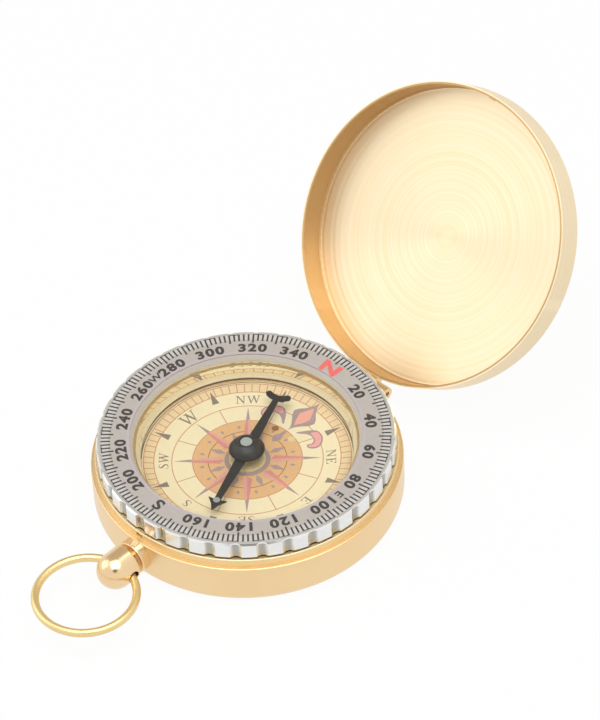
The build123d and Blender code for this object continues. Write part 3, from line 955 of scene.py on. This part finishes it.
# Roman capitals with serifs, one unit high, drawn from their lower left corner.
SERIF_S = ribbon(
    ((0.62, 0.80), (0.50, 0.94), (0.32, 0.97), (0.15, 0.87), (0.14, 0.70), (0.32, 0.56), (0.50, 0.44),
     (0.62, 0.28), (0.55, 0.10), (0.34, 0.03), (0.14, 0.08), (0.04, 0.26)),
    (0.02, 0.025, 0.03, 0.05, 0.07, 0.08, 0.08, 0.07, 0.055, 0.03, 0.025, 0.02),
)
SERIF: dict[str, Outline] = {
    "N": (
        (0, 1), (0.24, 1), (0.80, 0.26), (0.80, 0.95), (0.66, 0.96), (0.66, 1), (1.02, 1), (1.02, 0.96),
        (0.88, 0.95), (0.88, 0), (0.82, 0), (0.20, 0.80), (0.20, 0.05), (0.34, 0.04), (0.34, 0), (0, 0),
        (0, 0.04), (0.13, 0.05), (0.13, 0.90), (0, 0.96),
    ),
    "E": (
        (0, 1), (0.78, 1), (0.78, 0.76), (0.73, 0.76), (0.66, 0.95), (0.30, 0.95), (0.30, 0.54), (0.50, 0.54),
        (0.54, 0.66), (0.58, 0.66), (0.58, 0.38), (0.54, 0.38), (0.50, 0.49), (0.30, 0.49), (0.30, 0.05),
        (0.68, 0.05), (0.76, 0.25), (0.81, 0.25), (0.80, 0), (0, 0), (0, 0.04), (0.14, 0.05), (0.14, 0.95),
        (0, 0.96),
    ),
    "W": (
        (0, 1), (0.36, 1), (0.36, 0.96), (0.24, 0.95), (0.47, 0.28), (0.68, 0.86), (0.64, 0.95), (0.55, 0.96),
        (0.55, 1), (0.90, 1), (0.90, 0.96), (0.81, 0.95), (1.02, 0.28), (1.24, 0.95), (1.12, 0.96), (1.12, 1),
        (1.42, 1), (1.42, 0.96), (1.32, 0.95), (1.0, 0), (0.96, 0), (0.72, 0.70), (0.44, 0), (0.40, 0),
        (0.10, 0.95), (0, 0.96),
    ),
    "S": SERIF_S,
}


@dataclass(frozen=True)
class Heading:
    """Places drawings round an axis by bearing, clockwise from a north mark."""

    north: float

    def at(self, bearing: float, shape: Outline) -> list[Point]:
        """Turns a drawing out to a bearing.

        Args:
            bearing: Degrees clockwise from the north mark.
            shape: Points as distance to the right and distance outwards, millimetres.

        Returns:
            Points in plan.
        """
        angle = math.radians(self.north - bearing)
        c, s = math.cos(angle), math.sin(angle)
        return [(v * c + u * s, v * s - u * c) for u, v in shape]


@dataclass
class PrintedPiece:
    """Piece that carries print in several inks, laid out round a heading."""

    prefix: str
    heading: Heading
    face: PrintedFace
    span: float
    sheets: list[PrintSheet] = field(default_factory=list)

    def sheet(self, name: str, ink: Ink, layer: int) -> PrintSheet:
        """Starts a sheet of print on the piece."""
        self.sheets.append(PrintSheet(self.prefix + name, ink, self.face, layer, self.span))
        return self.sheets[-1]

    def finish_sheets(self, body: str, slot: str) -> None:
        """Lays every sheet on the piece, which belongs to the body."""
        for sheet in self.sheets:
            sheet.finish(body, slot)


@dataclass
class DialArt(PrintedPiece):
    """Compass rose with fleur-de-lis, letters and graduated edge, printed on the dished dial."""

    prefix: str = "dial_"
    heading: Heading = Heading(north=88.5)
    face: PrintedFace = PrintedFace(level=6.6, flat=12.2, slope=0.1277)
    span: float = 0.6
    line: float = 0.13
    disc_bore: float = 2.4
    disc_radius: float = 8.8
    halo: tuple[float, float] = (2.5, 3.7)
    fine_radius: float = 6.25
    circle_radius: float = 12.05
    star_root: float = 4.4
    star_notch: float = 0.6
    star_half_width: float = 0.8
    star_shoulder: float = 9.0
    star_tip: float = 11.8
    diamond: Outline = ((0, 3.8), (-0.5, 4.9), (0, 6.7), (0.5, 4.9))
    small_diamond: Outline = ((0, 6.95), (-0.28, 7.35), (0, 7.85), (0.28, 7.35))
    wedge: Outline = ((0, 16.25), (0.6, 13.6), (-0.6, 13.6))
    letter_radius: float = 13.4
    letter_height: float = 1.55
    west_height: float = 2.2
    letter_gap: float = 0.14
    track: tuple[float, float] = (14.9, 16.7)
    track_ticks: int = 80
    pale_bead: Point = (1.94, 8.0)
    dark_bead: Point = (-1.7, 7.95)
    bead_radius: float = 0.6
    bead_corners: int = 12

    def draw_rose(self) -> None:
        """Disc, circles, star, diamonds and spokes; the fleur-de-lis takes the place of north's ray."""
        at = self.heading.at
        self.sheet("disc", Ink.OCHRE, 0).ring(self.disc_bore, self.disc_radius)
        self.sheet("hub_halo", Ink.LILAC, 1).ring(*self.halo)
        self.sheet("fine_lines", Ink.UMBER, 1).ring(self.fine_radius, self.fine_radius + self.line)
        rust = self.sheet("spokes", Ink.RUST, 1)
        rust.ring(self.disc_radius - self.line / 2, self.disc_radius + self.line / 2)
        rust.ring(self.circle_radius, self.circle_radius + self.line)
        coral, rose = self.sheet("star_left", Ink.CORAL, 2), self.sheet("star_right", Ink.ROSE, 2)
        lilac = self.sheet("star_tips", Ink.LILAC, 2)
        edge = self.star_half_width * (self.star_tip - self.star_shoulder) / (self.star_tip - self.star_root)
        foot, wide = (0, self.star_root - self.star_notch), (self.star_half_width, self.star_root)
        top, side = (0, self.star_shoulder), (edge, self.star_shoulder)
        for k in range(BEARINGS):
            if k:
                ray = BEARING_STEP * k
                coral.fill(at(ray, (foot, (-wide[0], wide[1]), (-side[0], side[1]), top)))
                rose.fill(at(ray, (foot, top, side, wide)))
                lilac.fill(at(ray, ((-side[0], side[1]), (0, self.star_tip), side)))
            spoke = BEARING_STEP * (k + 0.5)
            rust.fill(at(spoke, bar(self.disc_radius, self.circle_radius, self.line)))
            lilac.fill(at(spoke, self.diamond))
            for bearing in (spoke - BEARING_STEP / 4, spoke + BEARING_STEP / 4):
                lilac.fill(at(bearing, self.small_diamond))

    def draw_letters(self) -> None:
        """Serif letters that stand outwards; the fleur-de-lis takes the place of north's."""
        slate = self.sheet("letters", Ink.SLATE, 1)
        for k, word in enumerate(("NE", "E", "SE", "S", "SW", "W", "NW"), start=1):
            height = self.west_height if word == "W" else self.letter_height
            widths = [max(u for u, _ in SERIF[c]) for c in word]
            cursor = -(sum(widths) + self.letter_gap * (len(word) - 1)) / 2
            for c, width in zip(word, widths):
                slate.fill(self.heading.at(BEARING_STEP * k, [
                    ((cursor + u) * height, self.letter_radius + (v - 0.5) * height) for u, v in SERIF[c]
                ]))
                cursor += width + self.letter_gap

    def draw_track(self) -> None:
        """Peach band between two circles, its ticks, and wedges that point outwards."""
        inner, outer = self.track
        self.sheet("track_band", Ink.PEACH, 0).ring(inner, outer)
        lines = self.sheet("track_lines", Ink.RUST, 1)
        for radius in (inner, outer - self.line):
            lines.ring(radius, radius + self.line)
        tick = bar(inner + self.line, outer - self.line, self.line)
        for i in range(self.track_ticks):
            lines.fill(self.heading.at((i + 0.5) * 360 / self.track_ticks, tick))
        wedges = self.sheet("wedges", Ink.SLATE, 2)
        for k in range(BEARINGS):
            wedges.fill(self.heading.at(BEARING_STEP * (k + 0.5), self.wedge))

    def draw_lily(self) -> None:
        """Fleur-de-lis on north: lozenge, two petals, drop and two beads."""
        at = self.heading.at
        border, fill = self.sheet("lily_border", Ink.LILAC, 2), self.sheet("lily_fill", Ink.SALMON, 3)
        petals = self.sheet("lily_petals", Ink.BLUSH, 3)
        lozenge = (
            (0, 16.5), (0.34, 15.5), (1.05, 14.45), (1.9, 13.6), (2.3, 12.87), (1.9, 12.0), (1.15, 11.2),
            (0.5, 10.4), (0.12, 9.7), (0, 9.0),
        )
        core = ((0, 15.1), (0.5, 14.3), (1.15, 13.0), (0.65, 11.6), (0, 10.4))
        drop = ((0, 9.0), (0.25, 8.4), (0.35, 7.6), (0.75, 6.7), (0.45, 6.0), (0, 5.5))
        petal = rounded((
            (1.45, 9.59), (2.15, 10.64), (2.9, 11.61), (3.81, 12.14), (5.03, 11.9), (5.98, 11.05),
            (6.39, 9.83), (5.96, 8.86), (5.17, 8.45), (4.68, 8.86), (5.04, 9.52), (4.71, 10.25), (3.8, 10.64),
            (2.84, 10.39), (1.94, 9.71),
        ))
        blush = rounded((
            (3.35, 11.35), (3.9, 11.9), (4.95, 11.65), (5.75, 10.9), (6.12, 9.85), (5.75, 9.05), (5.2, 8.72),
            (4.98, 8.92), (5.3, 9.55), (4.95, 10.4), (4.0, 10.85), (3.4, 10.95),
        ))
        for sheet, half in ((border, lozenge), (border, drop), (fill, core)):
            sheet.fill(at(0, half + tuple((-u, v) for u, v in half[-2:0:-1])))
        for sheet, shape in ((border, petal), (petals, blush)):
            sheet.fill(at(0, shape))
            sheet.fill(at(0, [(-u, v) for u, v in reversed(shape)]))
        pale = self.sheet("lily_bead_pale", Ink.CREAM, 3)
        dark = self.sheet("lily_bead_dark", Ink.UMBER, 3)
        r = self.bead_radius
        turn = [math.radians(360 / self.bead_corners * i) for i in range(self.bead_corners)]
        for sheet, (u, v) in ((pale, self.pale_bead), (dark, self.dark_bead)):
            sheet.fill(at(0, [(u + r * math.cos(a), v + r * math.sin(a)) for a in turn]))

    def build(self, frame: Frame) -> None:
        """Prints the dial.

        Args:
            frame: Loaded frame.
        """
        # Card with a cream ground coat: matt and slightly uneven.
        card = MottledFinish("card_cream_ground", "#FFF3CF", "#FBEBC0", rough=0.65, grain_mm=1.2)
        dress(frame, card, "dial_card")
        self.draw_rose()
        self.draw_letters()
        self.draw_track()
        self.draw_lily()
        self.finish_sheets("case", "dial_print")


@dataclass
class Capsule:
    """Capsule with crystal, needle and their small pieces."""

    wall_middle: float = 17.05
    seal_shrink: float = 0.03

    def build(self, frame: Frame) -> None:
        """Dresses the capsule's pieces.

        Args:
            frame: Loaded frame.
        """
        dress(frame, ClearAcrylic("acrylic_cast_crystal"), "crystal")
        dress(frame, ClearAcrylic("acrylic_moulded_wall", mirror_from=self.wall_middle), "capsule_rim")
        # Silvered cell under the clear wall: mirrors the dial's edge.
        mirror = MottledFinish("styrene_silvered", "#F7F3E6", "#F0EAD8", rough=0.05, metallic=1.0, bump=0.02)
        dress(frame, mirror, "capsule_cup")
        # Nitrile rubber, moulded: dark brown and dull at its edge. Its top is painted pale cream: painted
        # reflection of the dial in the clear wall above it.
        seal = MottledFinish("nitrile_top_painted_reflection", "#7A5F4E", "#644B3C", rough=0.6, top="#F3DFB2")
        dress(frame, seal, "capsule_gasket")
        # The seal is drawn a hair smaller, so that its top and the foot of the wall aren't in one plane.
        squeeze = frame["nodes"]["capsule_gasket"].modifiers.new("squeeze", "DISPLACE")
        squeeze.strength = -self.seal_shrink * MM
        squeeze.mid_level = 0.0
        # ABS, moulded: black with a dull sheen.
        dress(frame, MottledFinish("abs_moulded_black", "#1B1B1C", "#121213", rough=0.5), "spacer_ring")
        # Stoved enamel on steel: black with a soft shine.
        enamel = MottledFinish("enamel_stoved_black", "#111116", "#0B0B0F", rough=0.4)
        dress(frame, enamel, "needle_blade", "needle_hub")
        # Pressed glass: grey-green and shiny.
        dress(frame, MottledFinish("glass_pressed", "#B6BFBB", "#A2ACA8", rough=0.15), "jewel_bearing")
        # Luminous paint: pale grey, slightly grainy.
        dress(frame, MottledFinish("lume_paint", "#A9B0B4", "#8E979C", rough=0.5, grain_mm=0.2), "tail_dot")
        # Lacquered brass seat of the pivot: pale cream.
        dress(frame, MottledFinish("brass_lacquered_pale", "#EDDDAA", "#DFCB94", rough=0.5), "pivot_base")


@dataclass(frozen=True)
class Lettering:
    """Type of the scale: height of a capital, thickening as a share of the type's size, stretch."""

    height: float
    bold: float
    wide: float = 1.15


@dataclass
class Bezel(PrintedPiece):
    """Turning bezel with its printed scale of degrees."""

    prefix: str = "scale_"
    heading: Heading = Heading(north=90.9)
    face: PrintedFace = PrintedFace(level=12.1, flat=30.0, slope=0.0)
    span: float = 1.0
    word_radius: float = 20.0
    numeral_step: int = 20
    numerals: Lettering = Lettering(1.9, 0.045)
    north_type: Lettering = Lettering(2.6, 0.05, 1.4)
    south_type: Lettering = Lettering(2.2, 0.03)
    side_type: Lettering = Lettering(1.35, 0.02)
    letter_spacing: float = 1.2
    curve_parts: int = 4
    tick_top: float = 23.13
    short_tick: float = 21.6
    long_tick: float = 21.15
    tick_width: float = 0.29
    tick_step: int = 2
    long_step: int = 10
    bracket_width: float = 0.14
    bracket_start: float = 4.3
    bracket_sweep: float = 4.6
    inner_band: tuple[float, float] = (18.62, 19.05)
    tick_band: tuple[float, float] = (21.9, 23.18)

    def letter(self, sheet: PrintSheet, text: str, bearing: float, style: Lettering) -> None:
        """Sets a word round the scale, its top outwards.

        Args:
            sheet: Sheet that takes the word.
            text: Numeral or letter.
            bearing: Place of its middle, degrees clockwise from north.
            style: Its type.
        """
        curve = bpy.data.curves.new("word", "FONT")
        curve.body = text
        curve.offset = style.bold
        curve.space_character = self.letter_spacing
        curve.resolution_u = self.curve_parts
        carrier = bpy.data.objects.new("word", curve)
        shape = bpy.data.meshes.new_from_object(carrier)
        across = [v.co.x for v in shape.vertices]
        along = [v.co.y for v in shape.vertices]
        scale = style.height / (max(along) - min(along))
        middle = (max(across) + min(across)) / 2, (max(along) + min(along)) / 2
        corners = []
        for v in shape.vertices:
            turn = math.degrees((v.co.x - middle[0]) * scale * style.wide / self.word_radius)
            out = self.word_radius + (v.co.y - middle[1]) * scale
            (x, y), = self.heading.at(bearing + turn, ((0, out),))
            corners.append(sheet.mesh.verts.new((x, y, 0)))
        for face in shape.polygons:
            sheet.mesh.faces.new([corners[i] for i in face.vertices])
        bpy.data.meshes.remove(shape)
        bpy.data.objects.remove(carrier)
        bpy.data.curves.remove(curve)

    def draw_scale(self) -> None:
        """Bands, numerals, letters on the quarters, ticks, and beside each long tick an arc of painted shadow
        from the grip notches.
        """
        self.sheet("inner_band", Ink.HEATHER, 0).ring(*self.inner_band)
        self.sheet("tick_band", Ink.MIST, 0).ring(*self.tick_band)
        words, red = self.sheet("numerals", Ink.CHARCOAL, 1), self.sheet("north", Ink.SCARLET, 1)
        for degrees in range(self.numeral_step, 360, self.numeral_step):
            if degrees != 180:
                self.letter(words, str(degrees), degrees, self.numerals)
        self.letter(red, "N", 0, self.north_type)
        self.letter(words, "S", 180, self.south_type)
        self.letter(words, "E", 90, self.side_type)
        self.letter(words, "W", 270, self.side_type)
        ticks = self.sheet("ticks", Ink.CHARCOAL, 1)
        for degrees in range(0, 360, self.tick_step):
            low = self.short_tick if degrees % self.long_step else self.long_tick
            ticks.fill(self.heading.at(degrees, bar(low, self.tick_top, self.tick_width)))
        # Arcs of painted shadow: the dark line of the grip notches' edges seen through the clear ring, drawn
        # in the ticks' ink.
        for degrees in range(0, 360, self.long_step):
            start = self.heading.north - degrees - self.bracket_start
            ticks.ring(self.tick_top - self.bracket_width, self.tick_top, start, self.bracket_sweep)

    def build(self, frame: Frame) -> None:
        """Dresses and prints the bezel.

        Args:
            frame: Loaded frame.
        """
        dress(frame, MouldedClear("styrene_moulded_clear"), "bezel_ring")
        # Polycarbonate film, painted silver-grey from behind: even, satin.
        film = MottledFinish("polycarbonate_film_grey", "#C4BDB6", "#B9B2AB", rough=0.35, grain_mm=0.8)
        dress(frame, film, "scale_ring")
        self.draw_scale()
        self.finish_sheets("bezel", "scale_print")


def main() -> None:
    """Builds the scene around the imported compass."""
    logging.basicConfig(level=logging.INFO, format="%(name)s: %(message)s")
    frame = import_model()
    PhotoCamera().build()
    Studio().build()
    for part in (Metalwork(), DialArt(), Capsule(), Bezel()):
        part.build(frame)


if __name__ == "__main__":
    main()
